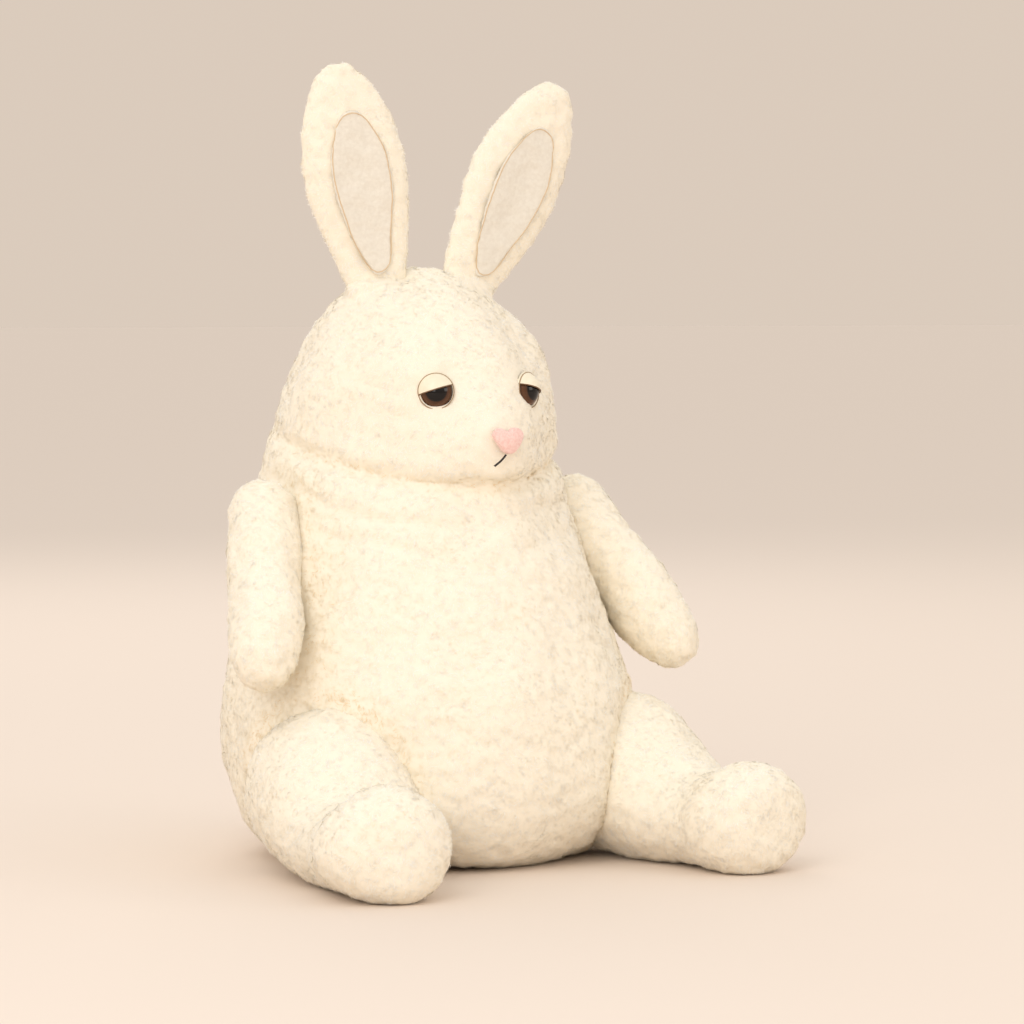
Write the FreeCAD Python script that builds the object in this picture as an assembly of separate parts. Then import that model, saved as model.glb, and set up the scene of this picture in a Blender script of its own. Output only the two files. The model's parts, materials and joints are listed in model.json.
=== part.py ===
"""Stuffed bunny rabbit, sitting: plush covers, stuffing, safety eyes and the seams that its limbs move about.

Millimetres. +Z is up and the bunny faces -Y, so +X is its own left. The origin is the middle of the flat
seat, on the surface that the toy sits on. Every soft part is a closed skin of plush over its own stuffing.
"""
import FreeCAD
import Part
import math
import os

from FreeCAD import Vector

# ---- driving dimensions -------------------------------------------------------------------------------
SKIN = 3.0                 # plush fabric with its pile pressed flat
FILL_GAP = 0.25            # between a skin and the stuffing that fills it
JOINT_GAP = 0.45           # between two soft bodies that move on each other
RING_POINTS = 12           # points on each lofted outline
FAR = 400.0                # larger than the toy

# The torso: height, half width, front and back, from the seat to above the neck.
TORSO_ROWS = [
    (0.0, 46.0, -49.0, 40.0),
    (2.5, 52.0, -55.5, 45.0),
    (7.0, 57.5, -61.0, 49.5),
    (15.0, 62.5, -65.5, 53.5),
    (27.0, 65.5, -68.0, 57.0),
    (40.0, 66.5, -68.0, 59.0),
    (54.0, 64.8, -65.0, 58.5),
    (67.0, 61.8, -60.5, 57.5),
    (80.0, 58.0, -55.5, 56.5),
    (92.0, 53.8, -49.5, 56.5),
    (105.0, 50.0, -43.0, 57.5),
    (117.0, 48.2, -38.0, 59.0),
    (130.0, 46.0, -34.5, 59.0),
    (145.0, 42.5, -34.0, 54.0),
    (156.0, 40.0, -33.0, 48.0),
]
# The head, from inside the neck to the crown: height, half width, front and back without the muzzle, and
# how far the muzzle stands out.
HEAD_ROWS = [
    (104.0, 42.5, -32.0, 53.0, 6.0),
    (114.0, 44.0, -35.0, 54.0, 9.0),
    (122.0, 44.6, -36.0, 54.0, 11.5),
    (130.0, 44.8, -36.5, 54.5, 13.0),
    (139.0, 44.2, -37.5, 51.0, 10.0),
    (147.0, 42.8, -37.0, 47.5, 3.6),
    (155.0, 40.0, -35.0, 44.0, 0.6),
    (162.5, 36.3, -31.0, 41.0, 0.0),
    (170.0, 31.0, -25.5, 35.5, 0.0),
    (176.0, 25.0, -19.0, 29.0, 0.0),
    (180.3, 18.5, -12.0, 22.5, 0.0),
    (183.0, 11.0, -4.5, 15.0, 0.0),
    (184.2, 4.0, 2.0, 8.5, 0.0),
]
MUZZLE_HALF = 17.0         # the muzzle falls away over this distance to each side
FACE_SHIFT = 1.7           # the face is sewn on this far to the bunny's own left of the middle

# The neck seam is a tilted plane, lower at the chin, and the head turns about its normal.
NECK_HEIGHT = 128.5
NECK_SLOPE = 0.26
NECK_CENTRE_Y = 7.0

# Arms: the ball at the shoulder, where the middle of the paw is, and the outline between them.
SHOULDER = Vector(55.8, 0.5, 108.0)
PAW = Vector(72.5, -32.0, 66.0)
SHOULDER_BALL = 11.0
ARM_SWING = 60.0           # degrees that an arm is raised from rest
ARM_DISH, ARM_SPREAD = 43.6, 0.27        # the dish in the torso: where it starts and how fast it opens
ARM_ROWS = [
    (0.0, 10.7), (8.0, 11.2), (18.0, 11.6), (30.0, 11.9), (40.0, 12.1), (49.0, 11.5), (56.0, 9.9), (61.0, 7.2),
    (64.0, 3.6),
]

# Legs: the ball at the hip and the outline along the floor: distance, underside, top and half width.
HIP = Vector(52.0, -34.5, 26.0)
HIP_BALL = 25.5
LEG_DISH, LEG_SPREAD = 23.0, 0.36        # the dish in the torso: where it starts and how fast it opens
LEG_SPLAY = math.radians(10.5)
SOLE_START = 26.0          # the sole panel begins this far along the leg
LEG_ROWS = [
    (-25.3, 23.0, 29.0, 3.0), (-23.6, 16.5, 35.5, 9.5), (-19.5, 9.8, 42.2, 16.2), (-12.0, 3.6, 48.4, 22.4),
    (0.0, 0.6, 51.4, 25.4), (10.0, -1.0, 49.0, 24.8), (20.0, -1.2, 41.8, 23.4), (30.0, -1.2, 33.5, 21.2),
    (39.0, -1.2, 28.2, 19.0), (46.0, -1.2, 29.0, 18.8), (53.0, -1.2, 32.4, 19.9), (60.0, -1.0, 33.2, 19.9),
    (65.5, 0.5, 31.5, 17.8), (69.0, 3.5, 27.5, 13.5), (70.8, 8.0, 22.5, 7.5),
]

# Ears: where each is sewn on, its tip, how far its face turns outwards, and its outline from root to tip.
EAR_ROOT = Vector(15.8, 1.0, 178.8)
EAR_TIPS = {"left": Vector(44.5, -5.0, 240.0), "right": Vector(-33.0, -3.0, 249.5)}
EAR_TURN = 7.0
EAR_LENGTH = 72.5
EAR_HEM = 3.6              # radius of the rolled root
EAR_HEM_HALF = 9.6
EAR_SKIN = 1.8
EAR_POCKET_ANGLES = (-36.0, -18.0, 0.0, 18.0, 36.0)
EAR_ROWS = [
    (-3.6, 8.0, 1.2), (-2.5, 8.9, 2.6), (0.0, 9.6, 3.6), (6.0, 11.2, 3.9), (14.0, 13.4, 4.3), (24.0, 15.8, 4.7),
    (35.0, 17.3, 4.9), (46.0, 16.7, 4.7), (55.0, 14.6, 4.2), (62.5, 11.6, 3.6), (68.5, 7.8, 2.8), (72.0, 3.6, 1.8),
]
LINING_ROWS = [
    (5.5, 1.8), (13.0, 5.2), (23.0, 8.2), (34.0, 9.9), (43.0, 9.3), (51.0, 6.4), (57.0, 2.0),
]
LINING_THICK = 0.8

# Eyes: standard 10.5 mm safety eyes with a shank and a locking washer behind the fabric.
EYE_X, EYE_Z = 16.9, 147.2
EYE_SIDE, EYE_UP = math.radians(27.0), math.radians(6.0)
EYE_DIAMETER = 10.5
EYE_DOME = 3.4             # how far the dome stands up from its flange
EYE_SINK = 0.6             # how far the flange is pressed into the pile
FLANGE = 1.0
SHANK_RADIUS, SHANK_LENGTH = 1.6, 13.0
WASHER_RADIUS, WASHER_THICK = 6.5, 1.2
WASHER_BACK = 4.6          # from the flange's face to the washer
LID_THICK = 0.5
LID_DROOP = math.radians(27.0)

HEAD_SEAM_Y = 6.0          # where the face panel meets the crown panels

# Nose, mouth and tail.
NOSE_CENTRE_Z = 132.0
NOSE_HALF = (5.2, 4.0)
NOSE_THICK = 1.0
NOSE_BALL = 14.0           # the patch is bowed like a ball of this radius
MOUTH_POINTS = [(-0.6, 127.4), (-1.8, 125.6), (-3.1, 124.2), (-4.6, 122.9)]
MOUTH_RADIUS = 0.6
TAIL_CENTRE = Vector(0, 66.0, 27.0)
TAIL_RADIUS = 14.5

# The pouch of beans in the seat.
POUCH_CENTRE = Vector(0, 2.0, 16.0)
POUCH_HALF = (24.0, 30.0, 10.0)
POUCH_CLOTH = 0.8

PARTS = "parts"


# ---- shapes that repeat -------------------------------------------------------------------------------
def ring(points):
    """A closed smooth curve through the points."""
    curve = Part.BSplineCurve()
    curve.interpolate(Points=points, PeriodicFlag=True)
    return Part.Wire([curve.toShape()])


def outline(centre, across, along, half_across, half_along, low_along=None):
    """A closed smooth outline about a point; low_along sets another half size on its lower side."""
    points = []
    for i in range(RING_POINTS):
        angle = 2 * math.pi * i / RING_POINTS
        reach = half_along if math.sin(angle) >= 0 or low_along is None else low_along
        points.append(centre + across * (half_across * math.cos(angle)) + along * (reach * math.sin(angle)))
    return ring(points)


def loft(outlines):
    """A smooth closed solid through the outlines, flat at both ends."""
    return Part.makeLoft(outlines, True, False)


def inset_rows(rows, inset):
    """Rows of (place, half width, more...) moved in by a distance, square to the half-width profile."""
    if not inset:
        return list(rows)
    moved = []
    for i, row in enumerate(rows):
        before, after = rows[max(i - 1, 0)], rows[min(i + 1, len(rows) - 1)]
        run, rise = after[0] - before[0], after[1] - before[1]
        length = math.hypot(run, rise)
        square_in, square_on = run / length, -rise / length
        moved.append((row[0] - inset * square_on, inset * square_in))
    return moved


def muzzle_bump(x, stand):
    """How far a muzzle that stands out this much is in front of the head, this far from the middle."""
    return stand * math.exp(-((x - FACE_SHIFT) / MUZZLE_HALF) ** 2)


def standing_form(rows, inset=0.0):
    """An upright body from rows of (height, half width, front, back, muzzle), less its skin's thickness."""
    moved = inset_rows(rows, inset)
    rings = []
    for i, row in enumerate(rows):
        height, half, front, back = row[:4]
        place, less = moved[i][:2] if inset else (height, 0.0)
        width, depth = max(half - less, 1.2), max((back - front) / 2 - less, 1.2)
        stand = row[4] if len(row) > 4 else 0.0
        points = []
        for step in range(2 * RING_POINTS if stand else RING_POINTS):
            angle = 2 * math.pi * step / (2 * RING_POINTS if stand else RING_POINTS)
            x, y = width * math.cos(angle), (front + back) / 2 + depth * math.sin(angle)
            if math.sin(angle) < 0:
                y -= muzzle_bump(x, stand)
            points.append(Vector(x, y, place))
        rings.append(ring(points))
    return loft(rings)


def ellipsoid(centre, half):
    """A solid ellipsoid with these half sizes along X, Y and Z."""
    ball = Part.makeSphere(1.0)
    scale = FreeCAD.Matrix()
    scale.A11, scale.A22, scale.A33 = half
    ball = ball.transformGeometry(scale)
    ball.translate(centre)
    return ball


def slab(point, normal):
    """A block that fills the space on the side of a plane that its normal points to."""
    block = Part.makeBox(2 * FAR, 2 * FAR, FAR, Vector(-FAR, -FAR, 0))
    block.Placement = FreeCAD.Placement(point, FreeCAD.Rotation(Vector(0, 0, 1), normal))
    return block


def halves(shape, point, normal):
    """The two parts of a shape on either side of a plane, the normal's side first."""
    return shape.common(slab(point, normal)), shape.common(slab(point, normal * -1.0))


def mirrored(vector, side):
    """A point or direction of the left side, or its mirror image on the right."""
    return Vector(vector.x if side == "left" else -vector.x, vector.y, vector.z)


# ---- neck ---------------------------------------------------------------------------------------------
NECK_NORMAL = Vector(0, -NECK_SLOPE, 1).normalize()
NECK_POINT = Vector(0, NECK_CENTRE_Y, NECK_HEIGHT + NECK_SLOPE * NECK_CENTRE_Y)


# ---- limbs --------------------------------------------------------------------------------------------
def arm_form(side, inset=0.0):
    """An arm: the ball at its shoulder and the sleeve down to the paw."""
    root, paw = mirrored(SHOULDER, side), mirrored(PAW, side)
    along = (paw - root).normalize()
    across = along.cross(Vector(0, 0, 1)).normalize()
    other = across.cross(along)
    moved = inset_rows(ARM_ROWS, inset)
    rings = []
    for i, (place, half) in enumerate(ARM_ROWS):
        place, less = moved[i] if inset else (place, 0.0)
        radius = max(half - less, 1.0)
        rings.append(outline(root + along * place, across, other, radius, radius))
    return loft(rings).fuse(Part.makeSphere(SHOULDER_BALL - inset, root)).removeSplitter()


def leg_direction(side):
    return mirrored(Vector(math.sin(LEG_SPLAY), -math.cos(LEG_SPLAY), 0), side)


def leg_form(side, inset=0.0):
    """A leg lying on the floor: the ball at its hip, the shin and the foot with its toe up."""
    root = mirrored(HIP, side)
    along = leg_direction(side)
    across = Vector(-along.y, along.x, 0)
    moved = inset_rows([(row[0], row[3]) for row in LEG_ROWS], inset)
    rings = []
    for i, (place, low, high, half) in enumerate(LEG_ROWS):
        place, less = moved[i] if inset else (place, 0.0)
        centre = Vector(root.x, root.y, (high + low) / 2) + along * place
        rings.append(outline(centre, across, Vector(0, 0, 1), max(half - less, 1.2),
                             max((high - low) / 2 - less, 1.2)))
    return loft(rings).common(slab(Vector(0, 0, inset), Vector(0, 0, 1)))


# ---- sockets that the limbs sit in --------------------------------------------------------------------
def dish(centre, start, spread):
    """A cone that opens outwards along X from this far beside the middle, about a limb's swing axis."""
    way = 1.0 if centre.x > 0 else -1.0
    tip = Vector(way * start, centre.y, centre.z)
    return Part.makeCone(0.0, 60.0 / spread, 60.0, tip, Vector(way, 0, 0))


def sockets():
    """What the limbs take out of the torso, with room to swing up from rest."""
    cuts = []
    for side in ("left", "right"):
        shoulder, hip = mirrored(SHOULDER, side), mirrored(HIP, side)
        rest = Vector(0, PAW.y - SHOULDER.y, PAW.z - SHOULDER.z).normalize()
        raised = FreeCAD.Rotation(Vector(1, 0, 0), -ARM_SWING).multVec(rest)
        behind, above = Vector(0, -rest.z, rest.y), Vector(0, raised.z, -raised.y)
        room = dish(shoulder, ARM_DISH, ARM_SPREAD)
        reach = SHOULDER_BALL + 1.6
        for normal in (behind, above):
            room = room.common(slab(shoulder + normal * reach, normal * -1.0))
        cuts.append(room)
        ball = HIP_BALL + JOINT_GAP
        room = dish(hip, LEG_DISH, LEG_SPREAD).common(slab(hip, Vector(0, -1, 0)))
        cuts.append(room.common(slab(hip + Vector(0, 0, ball + 0.8), Vector(0, 0, -1))))
        cuts.append(Part.makeSphere(ball, hip))
    return cuts


def save(name, shape):
    """Writes one sub-part, and prints its size as it goes."""
    solids = [s for s in shape.Solids if s.Volume > 0.05]
    kept = solids[0] if len(solids) == 1 else Part.makeCompound(solids)
    kept.exportStep(os.path.join(PARTS, name + ".step"))
    print(f"{name}: {len(solids)} solid, {kept.Volume / 1000:.2f} cm3, valid {kept.isValid()}", flush=True)


# ---- torso --------------------------------------------------------------------------------------------
def build_torso():
    below_neck = slab(NECK_POINT - NECK_NORMAL * JOINT_GAP, NECK_NORMAL * -1.0)
    outer = standing_form(TORSO_ROWS)
    inner = standing_form(TORSO_ROWS, SKIN).common(slab(Vector(0, 0, SKIN), Vector(0, 0, 1)))
    filling = standing_form(TORSO_ROWS, SKIN + FILL_GAP)
    filling = filling.common(slab(Vector(0, 0, SKIN + FILL_GAP), Vector(0, 0, 1))).common(below_neck)
    skin = outer.cut(inner).common(below_neck)
    for room in sockets():
        skin, filling = skin.cut(room), filling.cut(room)
    upper, base = halves(skin, Vector(0, 0, SKIN), Vector(0, 0, 1))
    back, front = halves(upper, Vector(0, 0, 0), Vector(0, 1, 0))
    save("seat_base_panel", base)
    save("torso_front_panel", front)
    save("torso_back_panel", back)
    pouch_half = [h - POUCH_CLOTH for h in POUCH_HALF]
    save("bean_pouch", ellipsoid(POUCH_CENTRE, POUCH_HALF).cut(ellipsoid(POUCH_CENTRE, pouch_half)))
    save("bean_fill", ellipsoid(POUCH_CENTRE, [h - FILL_GAP for h in pouch_half]))
    hollow = ellipsoid(POUCH_CENTRE, [h + FILL_GAP for h in POUCH_HALF])
    save("torso_stuffing", filling.cut(hollow))
    clear = standing_form(TORSO_ROWS, -FILL_GAP)
    tail = Part.makeSphere(TAIL_RADIUS, TAIL_CENTRE)
    tail_hollow = Part.makeSphere(TAIL_RADIUS - SKIN, TAIL_CENTRE)
    save("tail_cover", tail.cut(tail_hollow).cut(clear))
    save("tail_stuffing", Part.makeSphere(TAIL_RADIUS - SKIN - FILL_GAP, TAIL_CENTRE).cut(clear))


# ---- head ---------------------------------------------------------------------------------------------
def head_front(x, z, beyond=0.0):
    """How far forward the face is at this place."""
    for low, high in zip(HEAD_ROWS, HEAD_ROWS[1:]):
        if low[0] <= z <= high[0]:
            part = (z - low[0]) / (high[0] - low[0])
            half, front, back, stand = (low[i] + part * (high[i] - low[i]) for i in (1, 2, 3, 4))
    depth = (back - front) / 2 * math.sqrt(1 - (x / half) ** 2)
    return (front + back) / 2 - depth - muzzle_bump(x, stand) - beyond


def eye_frame(side):
    """Where an eye's flange sits, and the way that the eye looks."""
    look = Vector(math.sin(EYE_SIDE) * math.cos(EYE_UP), -math.cos(EYE_SIDE) * math.cos(EYE_UP), math.sin(EYE_UP))
    look = mirrored(look, side)
    x = mirrored(Vector(EYE_X, 0, 0), side).x + FACE_SHIFT
    return Vector(x, head_front(x, EYE_Z), EYE_Z) - look * EYE_SINK, look


def eye_dome(place, look, extra=0.0):
    """The glossy dome: a slice of a ball, EYE_DIAMETER wide and EYE_DOME high."""
    reach, rise = EYE_DIAMETER / 2 + extra, EYE_DOME + extra
    radius = (reach ** 2 + rise ** 2) / (2 * rise)
    ball = Part.makeSphere(radius, place + look * (rise - radius))
    return ball.common(slab(place, look))


def washer(place, look, extra=0.0):
    """The locking washer on the shank, behind the skin."""
    back = place - look * (WASHER_BACK + WASHER_THICK + extra)
    return Part.makeCylinder(WASHER_RADIUS + extra, WASHER_THICK + 2 * extra, back, look)


def shank(place, look, extra=0.0):
    length = SHANK_LENGTH + extra
    return Part.makeCylinder(SHANK_RADIUS + extra, length, place - look * length, look)


def build_eye(side):
    """An eye with its shank, its washer and its half-closed lid; returns what they take out of the head."""
    place, look = eye_frame(side)
    dome, post = eye_dome(place, look), shank(place, look)
    flange = Part.makeCylinder(EYE_DIAMETER / 2, FLANGE, place - look * FLANGE, look)
    save("eye_" + side, dome.fuse([flange, post]).removeSplitter())
    save("eye_washer_" + side, washer(place, look).cut(shank(place, look, 0.05)))
    over = eye_dome(place, look, LID_THICK + 0.05).cut(eye_dome(place, look, 0.05))
    level = look.cross(Vector(0, 0, 1)).normalize()
    upward = level.cross(look).normalize()
    inward = -1 if side == "left" else 1
    droop = FreeCAD.Rotation(look, math.degrees(LID_DROOP) * inward).multVec(upward)
    save("eyelid_" + side, over.common(slab(place + look * 1.2, droop)))
    room = Part.makeCylinder(EYE_DIAMETER / 2 + LID_THICK + 0.2, EYE_DOME + 6, place - look * (FLANGE + 0.1), look)
    return [room, shank(place, look, 0.1)], washer(place, look, FILL_GAP)


def nose_outline():
    """A soft heart-like triangle, wide at the top, seen from the front."""
    wide, tall = NOSE_HALF
    points = [(0, 0.78), (0.55, 1.0), (1.0, 0.55), (0.72, -0.3), (0.22, -0.95), (-0.22, -0.95), (-0.72, -0.3),
              (-1.0, 0.55), (-0.55, 1.0)]
    curve = Part.BSplineCurve()
    curve.interpolate(Points=[Vector(x * wide + FACE_SHIFT, -FAR, NOSE_CENTRE_Z + z * tall) for x, z in points],
                      PeriodicFlag=True)
    return Part.Face(Part.Wire([curve.toShape()]))


def build_face(skin):
    """The nose patch and the mouth stitch; returns the skin with a seat for each."""
    front = head_front(FACE_SHIFT, NOSE_CENTRE_Z)
    prism = nose_outline().extrude(Vector(0, FAR + front + NOSE_BALL / 2, 0))
    over, under = (ellipsoid(Vector(FACE_SHIFT, front + NOSE_BALL, NOSE_CENTRE_Z), [NOSE_BALL + grow] * 3)
                   for grow in (NOSE_THICK * 0.6, -NOSE_THICK * 0.6))
    nose = over.cut(under).common(prism)
    save("nose_patch", nose)
    points = [Vector(x + FACE_SHIFT, head_front(x + FACE_SHIFT, z), z) for x, z in MOUTH_POINTS]
    path = Part.BSplineCurve()
    path.interpolate(Points=points)
    start = Part.Wire([Part.Circle(points[0], path.tangent(path.FirstParameter)[0], MOUTH_RADIUS).toShape()])
    stitch = Part.Wire([path.toShape()]).makePipeShell([start], True, True)
    save("mouth_stitch", stitch)
    return skin.cut(nose).cut(stitch)


def build_head():
    above_neck = slab(NECK_POINT + NECK_NORMAL * JOINT_GAP, NECK_NORMAL)
    skin = standing_form(HEAD_ROWS).cut(standing_form(HEAD_ROWS, SKIN)).common(above_neck)
    filling = standing_form(HEAD_ROWS, SKIN + FILL_GAP).common(above_neck)
    for side in ("left", "right"):
        pocket = ear_pocket(side)
        skin, filling = skin.cut(pocket), filling.cut(pocket)
        rooms, washer_room = build_eye(side)
        for room in rooms:
            skin, filling = skin.cut(room), filling.cut(room)
        filling = filling.cut(washer_room)
    skin = build_face(skin)
    back, front = halves(skin, Vector(0, HEAD_SEAM_Y, 0), Vector(0, 1, 0))
    crown_left, crown_right = halves(back, Vector(0, 0, 0), Vector(1, 0, 0))
    save("face_panel", front)
    save("head_panel_left", crown_left)
    save("head_panel_right", crown_right)
    save("head_stuffing", filling)


# ---- ears ---------------------------------------------------------------------------------------------
def ear_axes(side):
    """An ear's root, the way along it, the way across it and the way that its lining faces."""
    root = mirrored(EAR_ROOT, side)
    along = (EAR_TIPS[side] - root).normalize()
    turn = math.radians(EAR_TURN if side == "left" else -EAR_TURN)
    ahead = Vector(math.sin(turn), -math.cos(turn), 0)
    across = ahead.cross(along).normalize()
    return root, along, across, along.cross(across)


def ear_form(side, inset=0.0):
    """An ear from its rolled root to its tip."""
    root, along, across, ahead = ear_axes(side)
    moved = inset_rows([row[:2] for row in EAR_ROWS], inset)
    rings = []
    for i, (place, half, thick) in enumerate(EAR_ROWS):
        place, less = moved[i] if inset else (place, 0.0)
        rings.append(outline(root + along * place, across, ahead, max(half - less, 0.9), max(thick - inset, 0.5)))
    return loft(rings)


def ear_pocket(side):
    """What an ear takes out of the head: a groove for its rolled root, open over the whole bend."""
    root, along, across, ahead = ear_axes(side)
    radius, half = EAR_HEM + JOINT_GAP, EAR_HEM_HALF + 1.6
    pocket = Part.makeCylinder(radius, 2 * half, root - across * half, across)
    for angle in EAR_POCKET_ANGLES:
        lean = FreeCAD.Rotation(across, angle)
        up, out = lean.multVec(along), lean.multVec(ahead)
        corners = [root + across * s * half + out * t * radius for s, t in ((-1, -1), (1, -1), (1, 1), (-1, 1))]
        face = Part.Face(Part.makePolygon(corners + corners[:1]))
        pocket = pocket.fuse(face.extrude(up * 22.0))
    return pocket


def lining_prism(side, grow=0.0):
    """The lining's outline as a solid that stands off the front of the ear."""
    root, along, across, ahead = ear_axes(side)
    right = [(place, half + grow) for place, half in LINING_ROWS]
    points = [(half, place) for place, half in right] + [(-half, place) for place, half in reversed(right)]
    curve = Part.BSplineCurve()
    curve.interpolate(Points=[root + across * x + along * y for x, y in points], PeriodicFlag=True)
    return Part.Face(Part.Wire([curve.toShape()])).extrude(ahead * 20.0)


def build_ear(side):
    root, along, across, ahead = ear_axes(side)
    form = ear_form(side)
    seat = lining_prism(side).cut(ear_form(side, LINING_THICK))
    save("ear_lining_" + side, form.common(seat))
    front, back = halves(form.cut(ear_form(side, EAR_SKIN)).cut(seat), root, ahead)
    save("ear_front_" + side, front)
    save("ear_back_" + side, back)
    save("ear_wadding_" + side, ear_form(side, EAR_SKIN + FILL_GAP))


# ---- arms and legs ------------------------------------------------------------------------------------
def build_arm(side):
    root, along = mirrored(SHOULDER, side), (mirrored(PAW, side) - mirrored(SHOULDER, side)).normalize()
    skin = arm_form(side).cut(arm_form(side, SKIN))
    outward = mirrored(Vector(1, 0.35, 0), side)
    outward = (outward - along * outward.dot(along)).normalize()
    outer, inner = halves(skin, root, outward)
    save("arm_outer_" + side, outer)
    save("arm_inner_" + side, inner)
    save("arm_stuffing_" + side, arm_form(side, SKIN + FILL_GAP))


def build_leg(side):
    root, along = mirrored(HIP, side), leg_direction(side)
    skin = leg_form(side).cut(leg_form(side, SKIN))
    sole = skin.common(slab(Vector(0, 0, SKIN), Vector(0, 0, -1))).common(slab(root + along * SOLE_START, along))
    rest = skin.cut(sole)
    outer, inner = halves(rest, root, mirrored(Vector(-along.y, along.x, 0), "left") * (1 if side == "left" else -1))
    save("leg_outer_" + side, outer)
    save("leg_inner_" + side, inner)
    save("foot_sole_" + side, sole)
    save("leg_stuffing_" + side, leg_form(side, SKIN + FILL_GAP))


def main():
    os.makedirs(PARTS, exist_ok=True)
    build_torso()
    build_head()
    for side in ("left", "right"):
        build_ear(side)
        build_arm(side)
        build_leg(side)


if __name__ == "__main__":
    main()
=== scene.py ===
import json
import math

import bmesh
import bpy
import numpy as np
from mathutils import Matrix, Vector
from mathutils.bvhtree import BVHTree


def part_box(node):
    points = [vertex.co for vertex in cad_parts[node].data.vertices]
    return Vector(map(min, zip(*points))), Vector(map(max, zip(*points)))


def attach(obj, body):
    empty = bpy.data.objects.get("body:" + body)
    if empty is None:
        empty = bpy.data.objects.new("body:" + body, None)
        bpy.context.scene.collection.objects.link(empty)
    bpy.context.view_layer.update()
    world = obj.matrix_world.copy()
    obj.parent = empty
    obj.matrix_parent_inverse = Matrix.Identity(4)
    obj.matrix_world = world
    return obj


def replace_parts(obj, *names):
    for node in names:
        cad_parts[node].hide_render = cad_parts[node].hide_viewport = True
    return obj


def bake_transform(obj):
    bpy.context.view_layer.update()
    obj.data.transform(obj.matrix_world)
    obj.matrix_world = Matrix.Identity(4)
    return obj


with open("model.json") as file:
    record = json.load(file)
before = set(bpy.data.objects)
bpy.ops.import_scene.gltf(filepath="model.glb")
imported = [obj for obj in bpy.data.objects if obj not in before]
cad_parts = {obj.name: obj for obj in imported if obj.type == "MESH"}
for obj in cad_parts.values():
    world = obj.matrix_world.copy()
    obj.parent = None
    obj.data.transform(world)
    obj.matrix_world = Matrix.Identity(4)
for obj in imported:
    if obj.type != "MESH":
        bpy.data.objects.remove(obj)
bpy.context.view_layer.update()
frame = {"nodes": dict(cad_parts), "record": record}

MM = 0.001
SIDES = ("left", "right")
nodes = frame["nodes"]
joints = {joint["name"]: joint for joint in frame["record"]["behaviour"]["joints"]}
scene = bpy.context.scene
for spare in ("Cube", "Light", "Camera"):
    if spare in bpy.data.objects:
        bpy.data.objects.remove(bpy.data.objects[spare])


# ---- materials ----------------------------------------------------------------------------------------
def material(name, color, roughness=0.9, **inputs):
    """A Principled material with constant settings."""
    made = bpy.data.materials.new(name)
    made.use_nodes = True
    shader = made.node_tree.nodes["Principled BSDF"]
    shader.inputs["Base Color"].default_value = (*color, 1.0)
    shader.inputs["Roughness"].default_value = roughness
    for key, value in inputs.items():
        shader.inputs[key.replace("_", " ")].default_value = value
    made.diffuse_color = (*color, 1.0)
    return made


def mottled(name, low, high, scale, roughness=0.9, bump=0.0, **inputs):
    """A Principled material whose colour and relief follow a fine noise."""
    made = material(name, high, roughness, **inputs)
    tree = made.node_tree
    shader = tree.nodes["Principled BSDF"]
    place = tree.nodes.new("ShaderNodeTexCoord")
    noise = tree.nodes.new("ShaderNodeTexNoise")
    noise.inputs["Scale"].default_value = scale
    noise.inputs["Detail"].default_value = 4.0
    ramp = tree.nodes.new("ShaderNodeValToRGB")
    ramp.color_ramp.elements[0].position, ramp.color_ramp.elements[1].position = 0.35, 0.65
    ramp.color_ramp.elements[0].color, ramp.color_ramp.elements[1].color = (*low, 1), (*high, 1)
    tree.links.new(place.outputs["Object"], noise.inputs["Vector"])
    tree.links.new(noise.outputs["Fac"], ramp.inputs["Fac"])
    tree.links.new(ramp.outputs["Color"], shader.inputs["Base Color"])
    if bump:
        relief = tree.nodes.new("ShaderNodeBump")
        relief.inputs["Strength"].default_value = 0.5
        relief.inputs["Distance"].default_value = bump
        tree.links.new(noise.outputs["Fac"], relief.inputs["Height"])
        tree.links.new(relief.outputs["Normal"], shader.inputs["Normal"])
    return made


PLUSH = material("plush_backing", (0.94, 0.87, 0.73), 0.95)
# The warm and tan fibres mostly serve as painted shade in creases and under parts, and also as random tone.
FIBRES = [material("fibre_ivory", (0.97, 0.945, 0.88), 0.9, Sheen_Weight=0.2),
          material("fibre_cream", (0.965, 0.92, 0.81), 0.9, Sheen_Weight=0.2),
          material("fibre_warm", (0.945, 0.855, 0.68), 0.9, Sheen_Weight=0.15),
          material("fibre_tan", (0.89, 0.73, 0.50), 0.9)]
LINING = mottled("lining_velour", (0.765, 0.715, 0.625), (0.815, 0.77, 0.68), 900.0, 0.75, 0.0002,
                 Sheen_Weight=0.3)
TAN_THREAD = material("tan_thread", (0.70, 0.53, 0.34), 0.8)
NOSE = mottled("nose_flock", (0.86, 0.55, 0.50), (0.93, 0.67, 0.62), 1500.0, 0.9, 0.0002, Sheen_Weight=0.3)
BLACK_THREAD = material("black_thread", (0.02, 0.015, 0.013), 0.7)
LID = mottled("lid_cream", (0.87, 0.79, 0.62), (0.91, 0.84, 0.67), 600.0, 0.45)
LID_EDGE = material("lid_edge", (0.16, 0.08, 0.035), 0.5)
RIM = material("eye_rim", (0.36, 0.24, 0.13), 0.6)
WHITE = material("inner_white", (0.9, 0.9, 0.9), 0.6)


# ---- smooth random fields -----------------------------------------------------------------------------
class Waves:
    """Smooth noise of about unit size at one wavelength, made of plane waves in random directions."""

    def __init__(self, seed, wavelength, count=22):
        rng = np.random.default_rng(seed)
        way = rng.normal(size=(count, 3))
        way /= np.linalg.norm(way, axis=1)[:, None]
        self.k = way * (2 * math.pi / wavelength) * rng.uniform(0.7, 1.4, (count, 1))
        self.phase = rng.uniform(0, 2 * math.pi, count)
        self.size = math.sqrt(2.0 / count)

    def __call__(self, points):
        return np.sin(points @ self.k.T + self.phase).sum(axis=1) * self.size


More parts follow.
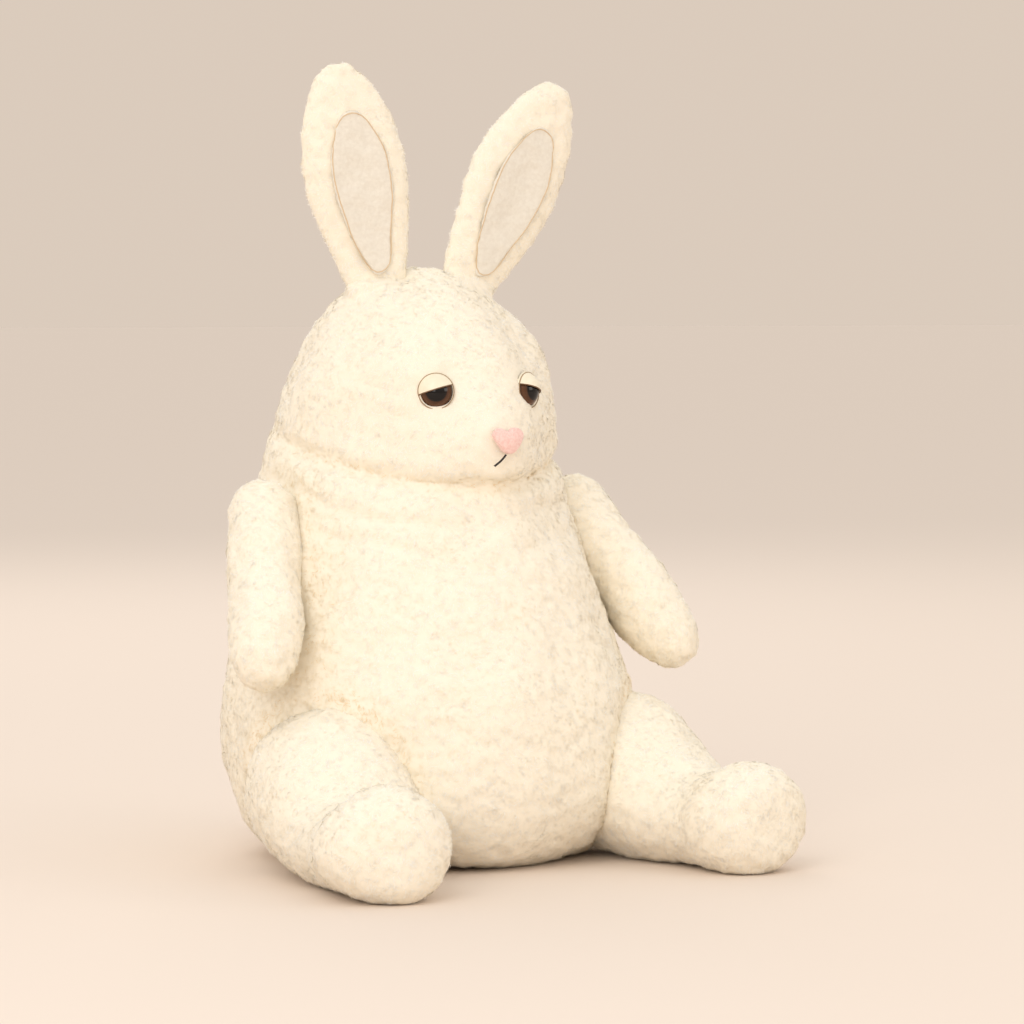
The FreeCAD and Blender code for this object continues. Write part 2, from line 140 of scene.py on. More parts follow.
def unit(v):
    return v / np.maximum(np.linalg.norm(v, axis=-1, keepdims=True), 1e-12)


# ---- meshes -------------------------------------------------------------------------------------------
def coords(mesh):
    flat = np.empty(len(mesh.vertices) * 3, np.float32)
    mesh.vertices.foreach_get("co", flat)
    return flat.reshape(-1, 3).astype(float)


def normals(mesh):
    flat = np.empty(len(mesh.vertices) * 3, np.float32)
    mesh.vertex_normals.foreach_get("vector", flat)
    return flat.reshape(-1, 3).astype(float)


def set_coords(mesh, points):
    mesh.vertices.foreach_set("co", np.asarray(points, np.float32).ravel())
    mesh.update()


def new_object(name, mesh, *materials):
    made = bpy.data.objects.new(name, mesh)
    scene.collection.objects.link(made)
    for one in materials:
        made.data.materials.append(one)
    return made


def ball(centre, radii, rows=24):
    """A closed ball mesh with these radii."""
    bm = bmesh.new()
    bmesh.ops.create_uvsphere(bm, u_segments=rows * 2, v_segments=rows, radius=1.0)
    bmesh.ops.transform(bm, verts=bm.verts, matrix=Matrix.Translation(centre) @ Matrix.Diagonal((*radii, 1)))
    return bm


def merged(name, node_names, extras=(), voxel=1.5 * MM, smoothing=6):
    """One closed skin round these CAD nodes and extra balls: remeshed, with what is inside it thrown away."""
    bm = bmesh.new()
    for node in node_names:
        bm.from_mesh(nodes[node].data)
    for extra in extras:
        spare = bpy.data.meshes.new("spare")
        extra.to_mesh(spare)
        extra.free()
        bm.from_mesh(spare)
        bpy.data.meshes.remove(spare)
    rough = bpy.data.meshes.new(name + "_rough")
    bm.to_mesh(rough)
    bm.free()
    holder = new_object(name + "_rough", rough)
    remesh = holder.modifiers.new("remesh", "REMESH")
    remesh.mode, remesh.voxel_size, remesh.adaptivity = "VOXEL", voxel, 0.0
    soften = holder.modifiers.new("soften", "SMOOTH")
    soften.factor, soften.iterations = 0.5, smoothing
    mesh = bpy.data.meshes.new_from_object(holder.evaluated_get(bpy.context.evaluated_depsgraph_get()))
    bpy.data.objects.remove(holder)
    bpy.data.meshes.remove(rough)
    bm = bmesh.new()
    bm.from_mesh(mesh)
    keep_outside(bm)
    bm.to_mesh(mesh)
    bm.free()
    mesh.name = name
    mesh.polygons.foreach_set("use_smooth", [True] * len(mesh.polygons))
    mesh.update()
    return mesh


def hull(node_names):
    """A closed skin stretched over these CAD nodes, so that the places cut out for limbs are filled."""
    bm = bmesh.new()
    for node in node_names:
        bm.from_mesh(nodes[node].data)
    bmesh.ops.delete(bm, geom=bm.faces[:], context="FACES_ONLY")
    made = bmesh.ops.convex_hull(bm, input=bm.verts[:])
    spare = [e for e in made["geom_interior"] + made["geom_unused"] if isinstance(e, bmesh.types.BMVert)]
    bmesh.ops.delete(bm, geom=spare, context="VERTS")
    return bm


def keep_outside(bm):
    """Keeps the largest shell of a mesh."""
    bm.verts.ensure_lookup_table()
    seen, shells = set(), []
    for first in bm.verts:
        if first in seen:
            continue
        shell, edge = {first}, [first]
        while edge:
            for link in edge.pop().link_edges:
                for vert in link.verts:
                    if vert not in shell:
                        shell.add(vert)
                        edge.append(vert)
        seen |= shell
        shells.append(shell)
    if len(shells) > 1:
        largest = max(shells, key=len)
        bmesh.ops.delete(bm, geom=[v for v in bm.verts if v not in largest], context="VERTS")


def push(mesh, amount):
    """Moves each vertex along its normal by its own amount."""
    set_coords(mesh, coords(mesh) + normals(mesh) * amount[:, None])


def relax(mesh, share, times):
    """Evens a mesh out where share is near 1, and leaves it where share is 0."""
    edges = np.empty(len(mesh.edges) * 2, np.int32)
    mesh.edges.foreach_get("vertices", edges)
    a, b = edges.reshape(-1, 2).T
    points = coords(mesh)
    count = np.bincount(edges, minlength=len(points))[:, None]
    for _ in range(times):
        total = np.zeros_like(points)
        np.add.at(total, a, points[b])
        np.add.at(total, b, points[a])
        points += (total / count - points) * share[:, None] * 0.6
    set_coords(mesh, points)


def above_floor(points, lowest=0.0003):
    points[:, 2] = np.maximum(points[:, 2], lowest)
    return points


LUMPS, CLUMPS, CURLS = Waves(3, 34 * MM), Waves(4, 6.0 * MM), Waves(5, 2.8 * MM)


def plush_relief(mesh, lumps=0.7, clumps=0.16):
    """The soft unevenness of stuffing and of curled pile."""
    points = coords(mesh)
    relief = lumps * LUMPS(points) + clumps * CLUMPS(points) + 0.5 * clumps * CURLS(points)
    push(mesh, relief * MM)
    set_coords(mesh, above_floor(coords(mesh)))


def tube(name, path, radius, made_of, closed=False, sides=8):
    """A round thread along points."""
    points = np.array(path, float)
    count = len(points)
    ahead = np.roll(points, -1, 0) - np.roll(points, 1, 0) if closed else np.gradient(points, axis=0)
    ahead = unit(ahead)
    helper = np.array([0.31, 0.87, 0.38])
    one = unit(np.cross(ahead, helper))
    two = np.cross(ahead, one)
    turn = np.arange(sides) * 2 * math.pi / sides
    rings = points[:, None] + radius * (one[:, None] * np.cos(turn)[None, :, None]
                                        + two[:, None] * np.sin(turn)[None, :, None])
    faces = []
    for i in range(count if closed else count - 1):
        j = (i + 1) % count
        for s in range(sides):
            t = (s + 1) % sides
            faces.append((i * sides + s, i * sides + t, j * sides + t, j * sides + s))
    if not closed:
        faces.append(tuple(range(sides - 1, -1, -1)))
        faces.append(tuple((count - 1) * sides + s for s in range(sides)))
    mesh = bpy.data.meshes.new(name)
    mesh.from_pydata(rings.reshape(-1, 3).tolist(), [], faces)
    mesh.polygons.foreach_set("use_smooth", [True] * len(mesh.polygons))
    mesh.update()
    return new_object(name, mesh, made_of)


# ---- fur ----------------------------------------------------------------------------------------------
FLOW = [Waves(20 + i, 15 * MM) for i in range(3)]
SWIRL = [Waves(30 + i, 5.0 * MM) for i in range(3)]
MOST_FIBRES = 48000        # in one piece
PILE_LENGTH, PILE_WIDTH = 1.7 * MM, 0.22 * MM


def grow(name, skin, density, length, width, seed, comb=0.35, allow=None, scale=None, shade_and_tone=None):
    """Curled pile on a skin: flat fibres that lean, curl and lie in locks. Density is per square millimetre,
    scale gives each root's share of the length, and shade_and_tone, 0 to 1, how far its colour is towards
    tan:
    painted shade in creases and under parts, with random tone.
    The pile comes back as a list of pieces, from the lowest roots to the highest, none of them too heavy."""
    rng = np.random.default_rng(seed)
    mesh = skin.data
    mesh.calc_loop_triangles()
    tris = np.empty(len(mesh.loop_triangles) * 3, np.int32)
    mesh.loop_triangles.foreach_get("vertices", tris)
    tris = tris.reshape(-1, 3)
    points, facing = coords(mesh), normals(mesh)
    a, b, c = (points[tris[:, i]] for i in range(3))
    area = np.linalg.norm(np.cross(b - a, c - a), axis=1) / 2
    count = int(area.sum() / MM ** 2 * density)
    pick = rng.choice(len(tris), count, p=area / area.sum())
    u, v = rng.random(count), rng.random(count)
    flip = u + v > 1
    u[flip], v[flip] = 1 - u[flip], 1 - v[flip]
    w = 1 - u - v
    root = a[pick] * w[:, None] + b[pick] * u[:, None] + c[pick] * v[:, None]
    up = unit(sum(facing[tris[pick, i]] * part[:, None] for i, part in enumerate((w, u, v))))
    size = np.ones(count) if scale is None else scale(root)
    keep = size > 0.05
    if allow is not None:
        keep &= allow(root)
    root, up, size = root[keep], up[keep], size[keep]
    order = np.argsort(root[:, 2])
    root, up, size = root[order], up[order], size[order]
    count = len(root)
    flow = np.stack([f(root) for f in FLOW], 1) * 0.5 + np.stack([f(root) for f in SWIRL], 1) * 0.6
    flow += np.array([0.0, 0.0, -comb * 2])
    flow += rng.normal(size=(count, 3)) * 0.45
    lie = unit(flow - up * (flow * up).sum(1)[:, None])
    beside = np.cross(up, lie)
    long = length * size * rng.uniform(0.7, 1.25, count)
    lift = np.radians(rng.uniform(3, 14, count))
    curl = np.clip(rng.normal(size=count) * 0.8, -1.2, 1.2)
    first = lie * np.cos(lift)[:, None] + up * np.sin(lift)[:, None]
    lift2 = lift - np.radians(rng.uniform(2, 12, count))
    turned = lie * np.cos(curl)[:, None] + beside * np.sin(curl)[:, None]
    second = turned * np.cos(lift2)[:, None] + up * np.sin(lift2)[:, None]
    line = [root - up * 0.0003, root + first * (long * 0.5)[:, None]]
    line.append(line[1] + second * (long * 0.5)[:, None])
    tilt = np.clip(rng.normal(size=count) * 0.12, -0.25, 0.25)
    across = unit(beside * np.cos(tilt)[:, None] + up * np.sin(tilt)[:, None])
    face = unit(np.cross(across, first))
    over = np.sign((face * up).sum(1))[:, None]
    across, face = across * over, face * over
    wide = width * rng.uniform(0.7, 1.3, count)
    verts = np.empty((count, 6, 3))
    for i, (centre, part) in enumerate(zip(line, (0.5, 0.45, 0.15))):
        verts[:, 2 * i] = centre - across * (wide * part)[:, None]
        verts[:, 2 * i + 1] = centre + across * (wide * part)[:, None]
    flat = above_floor(verts.reshape(-1, 3), 0.0002).reshape(-1, 6, 3)
    # Painted shade: the tone index moves fibres to the warm and tan colours where the given function paints
    # shade, with random tone on top.
    shade_and_tone_level = (np.zeros(count) if shade_and_tone is None else shade_and_tone(root)) + rng.normal(size=count) * 0.15
    tone = np.digitize(shade_and_tone_level, (0.05, 0.34, 0.76))
    soft = unit(up + face * 0.22 + rng.normal(size=(count, 3)) * 0.06)
    pieces = []
    for chunk in np.array_split(np.arange(count), -(-count // MOST_FIBRES)):
        many = len(chunk)
        start = np.arange(many)[:, None] * 6
        quads = np.concatenate([start + [0, 1, 3, 2], start + [2, 3, 5, 4]], 1).reshape(-1, 4)
        fur = bpy.data.meshes.new(f"{name}_{len(pieces) + 1}")
        fur.vertices.add(many * 6)
        fur.loops.add(quads.size)
        fur.polygons.add(len(quads))
        fur.vertices.foreach_set("co", flat[chunk].astype(np.float32).ravel())
        fur.loops.foreach_set("vertex_index", quads.astype(np.int32).ravel())
        fur.polygons.foreach_set("loop_start", np.arange(len(quads), dtype=np.int32) * 4)
        made = new_object(fur.name, fur, *FIBRES)
        fur.polygons.foreach_set("material_index", np.repeat(tone[chunk], 2).astype(np.int32))
        fur.polygons.foreach_set("use_smooth", [True] * len(quads))
        fur.update()
        fur.validate()
        facing_out = np.repeat(soft[chunk], 6, axis=0).astype(np.float32)
        fur.normals_split_custom_set_from_vertices(facing_out.tolist())
        pieces.append(made)
    return pieces


# ---- body and head ------------------------------------------------------------------------------------
neck = joints["head_turn"]
neck_point, neck_normal = np.array(neck["pos_m"]), np.array(neck["axis"])
eye_boxes = {side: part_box("eyelid_" + side) for side in SIDES}
eyes = {side: (np.array(eye_boxes[side][0]) + np.array(eye_boxes[side][1])) / 2 for side in SIDES}
nose_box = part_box("nose_patch")
nose_centre = (np.array(nose_box[0]) + np.array(nose_box[1])) / 2
mouth_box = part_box("mouth_stitch")
mouth_centre = (np.array(mouth_box[0]) + np.array(mouth_box[1])) / 2

TORSO = ["torso_front_panel", "torso_back_panel", "seat_base_panel"]
HEAD = ["face_panel", "head_panel_left", "head_panel_right", "head_stuffing"]
fills = [hull(TORSO)] + [ball(joints[f"ear_{side}_fold"]["pos_m"], (0.012, 0.0065, 0.0052)) for side in SIDES]
body_mesh = merged("plush_body", HEAD, fills, 1.5 * MM, 8)


def above_neck(points):
    """Height over the neck seam, square to it."""
    return (points - neck_point) @ neck_normal


def folds(points):
    """The neck seam's crease and the two soft folds under the chin."""
    height = above_neck(points)
    frontal = np.clip(0.5 - points[:, 1] / (70 * MM), 0, 1)
    lean = 2.2 * MM * Waves(71, 60 * MM)(points)
    seam = np.clip(0.72 - points[:, 1] / (60 * MM), 0.06, 1)
    depth = -3.2 * MM * seam * np.exp(-(height / (2.4 * MM)) ** 2)
    depth += 0.8 * MM * seam * np.exp(-((height + 7 * MM) / (4.5 * MM)) ** 2)
    for place, size in ((-12, 0.9), (-19, 0.6)):
        depth -= size * MM * frontal * np.exp(-((height - place * MM + lean) / (1.8 * MM)) ** 2)
    return depth


shape = coords(body_mesh)
behind = np.clip(0.45 + shape[:, 1] / (70 * MM), 0.25, 1)
relax(body_mesh, np.exp(-(above_neck(shape) / (24 * MM)) ** 2) * behind, 300)
push(body_mesh, folds(coords(body_mesh)))
plush_relief(body_mesh)
body = new_object("plush_body", body_mesh, PLUSH)
roots = [np.array(joints[f"{kind}_{side}"]["pos_m"]) for kind, side in
         (("arm_left", "swing"), ("arm_right", "swing"), ("leg_left", "lift"), ("leg_right", "lift"))]
ROOT_REACH = (13 * MM, 13 * MM, 29 * MM, 29 * MM)
SHADE = Waves(72, 26 * MM)
PAW_REACH = 10 * MM        # from the paw's middle to the ends of its box


def arm_line(side):
    """From the shoulder to the middle of the paw."""
    way = 1 if side == "left" else -1
    low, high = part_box("arm_stuffing_" + side)
    outermost = high[0] if way > 0 else low[0]
    paw = np.array([outermost - way * PAW_REACH, low[1] + PAW_REACH, low[2] + PAW_REACH])
    return np.array(joints[f"arm_{side}_swing"]["pos_m"]), paw


ARM_LINES = [arm_line(side) for side in SIDES]


def from_line(points, line):
    """Each point's offset from the nearest point of a straight line between two ends."""
    start, end = line
    share = np.clip((points - start) @ (end - start) / ((end - start) @ (end - start)), 0, 1)
    return points - start - share[:, None] * (end - start)


def body_shade_and_tone(points):
    """Painted shade: cream goes towards tan in the neck crease, round the limbs' roots, beside the arms and a
    little all over below the neck, where shade falls; a weak random wave adds tone.
    """
    front = np.clip(0.8 - points[:, 1] / (60 * MM), 0.1, 1)
    # painted shade in the neck seam's crease
    shade_and_tone_level = 0.7 * front * np.exp(-(above_neck(points) / (2.4 * MM)) ** 2)
    # painted shade in rings round the limbs' roots
    for root, reach in zip(roots, ROOT_REACH):
        gap = np.abs(np.linalg.norm(points - root, axis=1) - reach)
        shade_and_tone_level = np.maximum(shade_and_tone_level, 0.55 * np.exp(-(gap / (4 * MM)) ** 2))
    # painted shade on the body beside the arms
    for line in ARM_LINES:
        gap = np.linalg.norm(from_line(points, line), axis=1) - 12 * MM
        shade_and_tone_level = np.maximum(shade_and_tone_level, 0.5 * np.exp(-(np.maximum(gap, 0) / (9 * MM)) ** 2))
    # painted shade on the body under the head
    below = np.clip(-above_neck(points) / (12 * MM), 0, 1)
    return shade_and_tone_level + 0.14 * below + 0.05 * SHADE(points)


def away(points, centre, inner, outer):
    """0 within the inner distance of a place, 1 beyond the outer one."""
    gap = np.linalg.norm(points - centre, axis=1)
    return np.clip((gap - inner) / (outer - inner), 0, 1)


def face_pile(points):
    """Pile is trimmed round the eyes, the nose and the mouth."""
    size = np.full(len(points), 1.0)
    for side in SIDES:
        size = np.minimum(size, 0.30 + 0.7 * away(points, eyes[side], 6 * MM, 15 * MM))
        size[np.linalg.norm(points - eyes[side], axis=1) < 5.6 * MM] = 0
    size = np.minimum(size, 0.30 + 0.7 * away(points, nose_centre, 5 * MM, 16 * MM))
    size = np.minimum(size, 0.25 + 0.75 * away(points, mouth_centre, 2 * MM, 8 * MM))
    return size


body_fur = grow("fur_body", body, 2.2, PILE_LENGTH, PILE_WIDTH, 11, scale=face_pile, shade_and_tone=body_shade_and_tone)
for piece in (body, *body_fur):
    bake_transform(piece)
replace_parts(body, *TORSO, *HEAD, "torso_stuffing", "bean_pouch", "bean_fill")

tail = new_object("plush_tail", merged("plush_tail", ["tail_cover", "tail_stuffing"], (), 1.2 * MM, 6), PLUSH)
plush_relief(tail.data, 0.3)
tail_fur = grow("fur_tail", tail, 2.0, 2.6 * MM, 0.3 * MM, 12, comb=0.1)
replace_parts(tail, "tail_cover", "tail_stuffing")
for piece in (tail, *tail_fur):
    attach(piece, "torso")

# ---- arms and legs ------------------------------------------------------------------------------------
def leg_shade_and_tone(points):
    """Legs get less painted shade than the belly, and a little more underneath, where shade falls, over a
    little random tone.
    """
    return 0.03 + 0.05 * np.clip((0.05 - points[:, 2]) / 0.05, 0, 1) + 0.05 * SHADE(points)


def arm_shade_and_tone(points):
    """Painted shade: arms go towards tan below and on the side towards the body, where shade falls, over a
    little random tone.
    """
    shade_and_tone_level = 0.03 + 0.05 * SHADE(points)
    for side, line in zip((1, -1), ARM_LINES):
        offset = from_line(points, line) / (11 * MM)
        inside = np.clip(-offset @ unit(np.array([side * 0.7, 0.3, 1.0])), 0, 1)
        shade_and_tone_level += 0.36 * inside * (points[:, 0] * side > 0)
    return shade_and_tone_level


ANKLE = 40 * MM            # from the hip to the dip above the foot
padded = [(body, 0.8), (tail, 0.8)]
for side in SIDES:
    for kind, names, voxel, density in (
            ("arm", ["arm_outer_", "arm_inner_", "arm_stuffing_"], 1.1 * MM, 2.3),
            ("leg", ["leg_outer_", "leg_inner_", "foot_sole_", "leg_stuffing_"], 1.4 * MM, 2.2)):
        names = [name + side for name in names]
        limb = new_object(f"plush_{kind}_{side}", merged(f"plush_{kind}_{side}", names, (), voxel, 6), PLUSH)
        if kind == "leg":
            spot = coords(limb.data)
            reach = np.linalg.norm((spot - np.array(joints[f"leg_{side}_lift"]["pos_m"]))[:, :2], axis=1)
            relax(limb.data, np.exp(-((reach - ANKLE) / (8 * MM)) ** 2), 45)
        plush_relief(limb.data, 0.5)
        fur = grow(f"fur_{kind}_{side}", limb, density, PILE_LENGTH, PILE_WIDTH, 40 + len(padded),
                   shade_and_tone=arm_shade_and_tone if kind == "arm" else leg_shade_and_tone)
        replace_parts(limb, *names)
        for piece in (limb, *fur):
            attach(piece, f"{kind}_{side}")
        padded.append((limb, 0.8))

# ---- ears ---------------------------------------------------------------------------------------------
LINING_LIFT, STITCH_INSET = 1.1 * MM, 0.7 * MM
for side in SIDES:
    hinge = joints[f"ear_{side}_fold"]
    root, across = np.array(hinge["pos_m"]), unit(np.array(hinge["axis"]))
    names = [name + side for name in ("ear_front_", "ear_back_", "ear_wadding_")]
    lining_mesh = merged("ear_lining_velour_" + side, ["ear_lining_" + side], (), 0.5 * MM, 2)
    wadding = coords(nodes["ear_wadding_" + side].data)
    along = wadding[np.argmax(np.linalg.norm(wadding - root, axis=1))] - root
    along = unit(along - across * (along @ across))
    ahead = np.cross(along, across)
    if ahead[1] > 0:
        ahead = -ahead

    def cupped(points, deep=1.6 * MM):
        """The ear's front sinks a little along its middle."""
        side_way, up_way = (points - root) @ across, (points - root) @ along
        front = np.clip(((points - root) @ ahead) / (2 * MM), 0, 1)
        dip = deep * np.exp(-(side_way / (8 * MM)) ** 2) * np.sin(np.clip(up_way / (66 * MM), 0, 1) * math.pi)
        return points - ahead * (dip * front)[:, None]

    names.append("ear_lining_" + side)
    ear = new_object("plush_ear_" + side, merged("plush_ear_" + side, names, (), 1.0 * MM, 5), PLUSH)
    set_coords(ear.data, cupped(coords(ear.data)))
    plush_relief(ear.data, 0.2, 0.14)
    pleats, grain = Waves(61, 9 * MM), Waves(62, 3 * MM)
    flat = coords(lining_mesh)
    stand_off = LINING_LIFT + 0.16 * MM * pleats(flat) + 0.05 * MM * grain(flat)
    flat = cupped(flat) + ahead * stand_off[:, None]
    set_coords(lining_mesh, flat)
    lining = new_object("ear_lining_velour_" + side, lining_mesh, LINING)
    tree = BVHTree.FromObject(lining, bpy.context.evaluated_depsgraph_get())
    middle = flat.mean(axis=0)
    local = np.stack([(flat - middle) @ across, (flat - middle) @ along], 1)
    bearing, reach = np.arctan2(local[:, 1], local[:, 0]), np.linalg.norm(local, axis=1)
    bins = 96
    rim = np.zeros(bins)
    np.maximum.at(rim, ((bearing + math.pi) / (2 * math.pi) * bins).astype(int) % bins, reach)
    rim = (np.roll(rim, 1) + rim + np.roll(rim, -1)) / 3
    angle = (np.arange(bins) + 0.5) / bins * 2 * math.pi - math.pi

    def on_lining(inset, lift):
        """The lining's outline, moved in and laid on its surface."""
        line = []
        for turn, far in zip(angle, rim):
            reach_in = far - inset
            spot = middle + across * (math.cos(turn) * reach_in) + along * (math.sin(turn) * reach_in)
            hit = tree.ray_cast(Vector(spot + ahead * 0.02), Vector(-ahead))[0]
            line.append((np.array(hit) if hit is not None else spot) + ahead * lift)
        return np.array(line)

    stitch_path = on_lining(STITCH_INSET, 0.05 * MM)
    stitch = tube("ear_stitch_" + side, stitch_path, 0.17 * MM, TAN_THREAD, closed=True, sides=6)

    def off_lining(points, along=along, across=across, ahead=ahead, middle=middle, rim=rim):
        """True where the ear's own pile shows: everywhere but under the lining."""
        spot = points - middle
        x, y = spot @ across, spot @ along
        turn = ((np.arctan2(y, x) + math.pi) / (2 * math.pi) * len(rim)).astype(int) % len(rim)
        return ((points - root) @ ahead < 0.6 * MM) | (np.hypot(x, y) > rim[turn] - 0.3 * MM)

    def ear_pile(points, root=root, along=along):
        """Pile is a little shorter towards the tip."""
        return 0.95 - 0.2 * np.clip(((points - root) @ along) / (72 * MM), 0, 1)

    seed = 80 + (side == "left")
    fur = grow("fur_ear_" + side, ear, 2.4, 1.6 * MM, PILE_WIDTH, seed, 0.2, off_lining, ear_pile)
    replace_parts(ear, *names[:3])
    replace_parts(lining, "ear_lining_" + side)
    lining, stitch
    for piece in (ear, *fur, lining, stitch):
        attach(piece, "ear_" + side)
    padded.append((ear, 0.5))

# ---- eyes ---------------------------------------------------------------------------------------------
EYE_SIDE, EYE_UP, EYE_DOME, EYE_REACH = math.radians(27.0), math.radians(6.0), 3.4 * MM, 5.25 * MM


def eye_material(name, centre, look):
    """Black pupil, dark brown iris, by distance from the eye's own axis."""
    made = material(name, (0.03, 0.012, 0.006), 0.07, IOR=1.38)
    tree = made.node_tree
    shader = tree.nodes["Principled BSDF"]
    place = tree.nodes.new("ShaderNodeTexCoord")
    offset = tree.nodes.new("ShaderNodeVectorMath")
    offset.operation = "SUBTRACT"
    offset.inputs[1].default_value = tuple(centre)
    square = tree.nodes.new("ShaderNodeVectorMath")
    square.operation = "CROSS_PRODUCT"
    square.inputs[1].default_value = tuple(look)
    gap = tree.nodes.new("ShaderNodeVectorMath")
    gap.operation = "LENGTH"
    ramp = tree.nodes.new("ShaderNodeValToRGB")
    share = tree.nodes.new("ShaderNodeMath")
    share.operation = "DIVIDE"
    share.inputs[1].default_value = 5.3 * MM
    stops = ramp.color_ramp.elements
    stops[0].position, stops[0].color = 0.0, (0.004, 0.003, 0.003, 1)
    stops[1].position, stops[1].color = 0.60, (0.006, 0.004, 0.003, 1)
    iris = ((0.66, (0.07, 0.028, 0.012, 1)), (0.84, (0.11, 0.045, 0.018, 1)), (0.97, (0.03, 0.012, 0.006, 1)))
    for spot, shade in iris:
        stop = stops.new(spot)
        stop.color = shade
    tree.links.new(place.outputs["Object"], offset.inputs[0])
    tree.links.new(offset.outputs[0], square.inputs[0])
    tree.links.new(square.outputs[0], gap.inputs[0])
    tree.links.new(gap.outputs["Value"], share.inputs[0])
    tree.links.new(share.outputs[0], ramp.inputs["Fac"])
    tree.links.new(ramp.outputs["Color"], shader.inputs["Base Color"])
    return made


LID_DROOP, LID_RISE, LID_GAP = math.radians(17.0), 0.45 * MM, 0.25 * MM


def eyelid(side, centre, look, over):
    """The half-closed lid: a shell over the upper part of the dome, with a fine line along its lower edge."""
    radius = (EYE_REACH ** 2 + EYE_DOME ** 2) / (2 * EYE_DOME)
    middle = centre + look * (EYE_DOME - radius)
    outer = radius + LID_GAP
    bm = ball(Vector(middle), (outer, outer, outer), 48)
    for point, normal in ((centre, look), (centre + over * LID_RISE, over)):
        geometry = bm.verts[:] + bm.edges[:] + bm.faces[:]
        bmesh.ops.bisect_plane(bm, geom=geometry, plane_co=Vector(point), plane_no=Vector(normal),
                               clear_inner=True)
    mesh = bpy.data.meshes.new("eyelid_shell_" + side)
    bm.to_mesh(mesh)
    bm.free()
    mesh.polygons.foreach_set("use_smooth", [True] * len(mesh.polygons))
    lid = new_object("eyelid_shell_" + side, mesh, LID)
    wall = lid.modifiers.new("wall", "SOLIDIFY")
    wall.thickness, wall.offset = 0.35 * MM, 1.0
    drop = (centre + over * LID_RISE - middle) @ over
    ring, spin = math.sqrt(outer ** 2 - drop ** 2), np.linspace(-math.pi / 2, math.pi / 2, 49)[:, None]
    sideways = np.cross(over, look)
    forward = np.cross(sideways, over)
    arc = middle + over * drop + (sideways * np.sin(spin) + forward * np.cos(spin)) * (ring + 0.25 * MM)
    arc = arc[(arc - centre) @ look > 0.1 * MM]
    return lid, tube("lid_line_" + side, arc, 0.2 * MM, LID_EDGE)


for side in SIDES:
    way = 1 if side == "left" else -1
    level_share = math.cos(EYE_UP)
    look = np.array([way * math.sin(EYE_SIDE) * level_share, -math.cos(EYE_SIDE) * level_share,
                     math.sin(EYE_UP)])
    points = coords(nodes["eye_" + side].data)
    depth = points @ look
    ring = points[np.abs(depth - (depth.max() - EYE_DOME)) < 0.15 * MM]
    centre = (ring.max(axis=0) + ring.min(axis=0)) / 2
    nodes["eye_" + side].data.materials.clear()
    nodes["eye_" + side].data.materials.append(eye_material("eye_glass_" + side, centre, look))
    nodes["eye_washer_" + side].data.materials.clear()
    nodes["eye_washer_" + side].data.materials.append(WHITE)
    level = unit(np.cross(look, [0, 0, 1]))
    upward = np.cross(level, look)
    turn = np.linspace(0, 2 * math.pi, 64, endpoint=False)[:, None]
    circle = centre + (level * np.cos(turn) + upward * np.sin(turn)) * 5.55 * MM + look * 0.8 * MM
    rim_line = tube("eye_rim_" + side, circle, 0.17 * MM, RIM, closed=True)
    droop = -way * LID_DROOP
    over = unit(upward * math.cos(droop) + level * math.sin(droop))
    lid, lid_line = eyelid(side, centre, look, over)
    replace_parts(lid, "eyelid_" + side)
    for piece in (rim_line, lid, lid_line):
        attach(piece, "head")

# ---- nose and mouth -----------------------------------------------------------------------------------
NOSE_ASIDE, MOUTH_SHARE = 1.3 * MM, 0.85
nose = new_object("nose_pad", merged("nose_pad", ["nose_patch"], (), 0.35 * MM, 3), NOSE)
spot = coords(nose.data)
bulge = np.clip(1 - np.linalg.norm((spot - nose_centre)[:, [0, 2]], axis=1) / (5 * MM), 0, 1)
front = normals(nose.data)[:, 1] < 0
spot[:, 0] += NOSE_ASIDE
set_coords(nose.data, spot + np.array([0, -1.0, 0]) * ((0.7 * MM + 0.9 * MM * bulge) * front)[:, None])
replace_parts(nose, "nose_patch"), nose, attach(nose, "head")
mouth = new_object("mouth_thread", merged("mouth_thread", ["mouth_stitch"], (), 0.22 * MM, 1), BLACK_THREAD)
push(mouth.data, np.full(len(mouth.data.vertices), -0.2 * MM))
spot = coords(mouth.data)
top = spot[np.argmax(spot[:, 2])]
set_coords(mouth.data, top + (spot - top) * MOUTH_SHARE + np.array([0.6 * MM, -0.9 * MM, 0.6 * MM]))
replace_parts(mouth, "mouth_stitch"), mouth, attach(mouth, "head")

# ---- floor, light and camera --------------------------------------------------------------------------
bpy.ops.mesh.primitive_plane_add(size=60, location=(0, 0, 0))
floor = bpy.context.object
floor.name = "floor"
floor.data.materials.append(material("pale_floor", (0.82, 0.71, 0.62), 0.9))


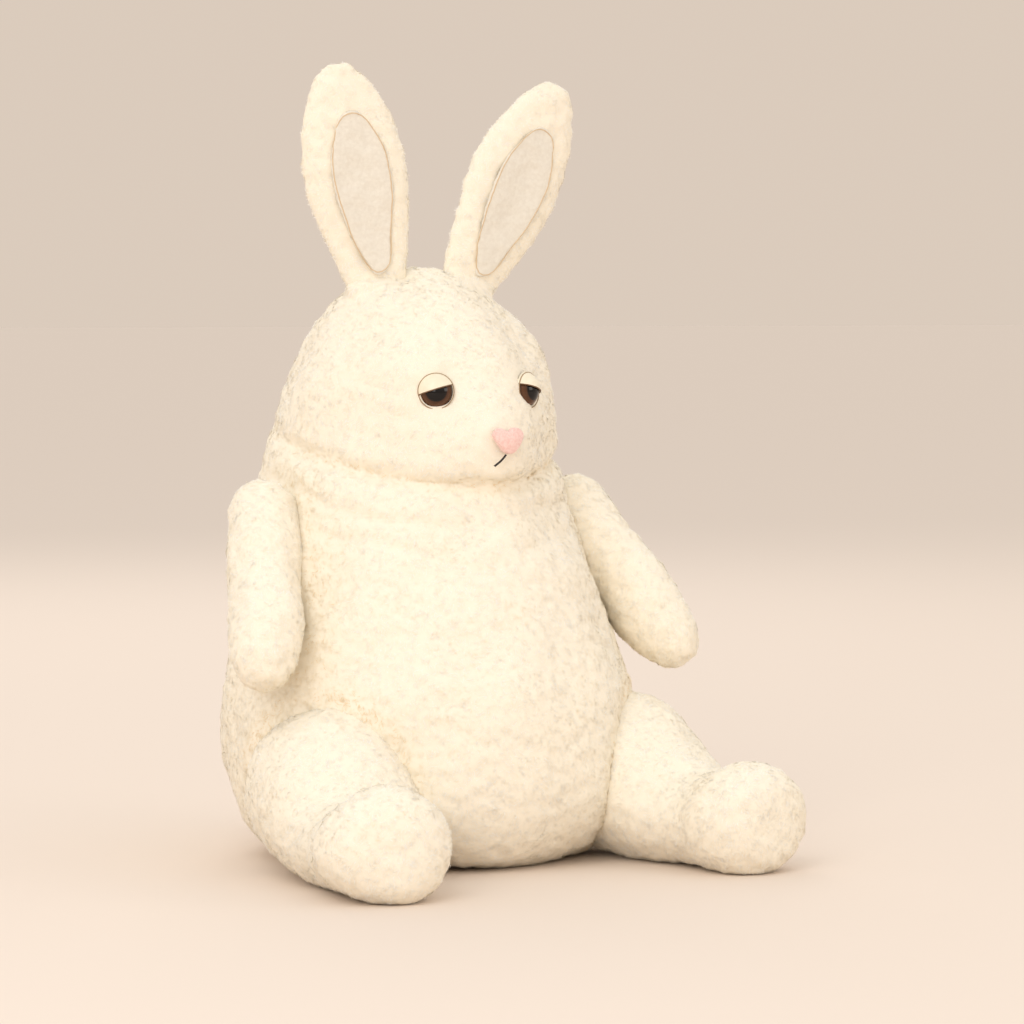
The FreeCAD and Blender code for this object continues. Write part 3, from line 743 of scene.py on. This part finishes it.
def area_light(name, place, target, wide, high, power, color):
    lamp = bpy.data.lights.new(name, "AREA")
    lamp.shape, lamp.size, lamp.size_y, lamp.energy, lamp.color = "RECTANGLE", wide, high, power, color
    made = bpy.data.objects.new(name, lamp)
    scene.collection.objects.link(made)
    made.location = place
    made.rotation_euler = (Vector(target) - Vector(place)).to_track_quat("-Z", "Y").to_euler()


area_light("key", (-0.9, -0.75, 1.1), (0, 0, 0.12), 0.9, 0.9, 5.2, (1.0, 0.985, 0.96))
area_light("low_front", (-0.95, -1.0, 0.40), (0, 0, 0.10), 0.6, 0.25, 2.5, (1.0, 0.98, 0.96))
area_light("fill", (0.9, -1.1, 0.46), (0, 0, 0.1), 0.6, 0.4, 2.0, (1.0, 0.95, 0.89))
area_light("back", (0.3, 1.0, 1.0), (0, 0, 0.15), 0.9, 0.9, 3.0, (1.0, 0.95, 0.9))
world = bpy.data.worlds.new("studio")
scene.world = world
world.use_nodes = True
sky = world.node_tree.nodes["Background"]
place = world.node_tree.nodes.new("ShaderNodeTexCoord")
split = world.node_tree.nodes.new("ShaderNodeSeparateXYZ")
dome = world.node_tree.nodes.new("ShaderNodeValToRGB")
dome.color_ramp.elements[0].position, dome.color_ramp.elements[1].position = 0.10, 0.45
dome.color_ramp.elements[0].color = (0.805, 0.682, 0.574, 1)
dome.color_ramp.elements[1].color = (1.0, 0.97, 0.93, 1)
world.node_tree.links.new(place.outputs["Generated"], split.inputs[0])
world.node_tree.links.new(split.outputs["Z"], dome.inputs["Fac"])
world.node_tree.links.new(dome.outputs["Color"], sky.inputs["Color"])
sky.inputs["Strength"].default_value = 0.88
scene.view_settings.view_transform = "Standard"

AZIMUTH, DISTANCE, ASIDE, AIM, RISE = math.radians(-30), 1.25, 0.028, 0.108, 0.065
right = Vector((math.cos(AZIMUTH), math.sin(AZIMUTH), 0))
forward = Vector((-math.sin(AZIMUTH), math.cos(AZIMUTH), 0))
target = right * ASIDE + Vector((0, 0, AIM))
lens = bpy.data.cameras.new("camera")
lens.lens, lens.sensor_width = 138.4, 36.0
camera = bpy.data.objects.new("camera", lens)
scene.collection.objects.link(camera)
camera.location = target - forward * DISTANCE + Vector((0, 0, RISE))
camera.rotation_euler = (target - camera.location).to_track_quat("-Z", "Y").to_euler()
scene.camera = camera
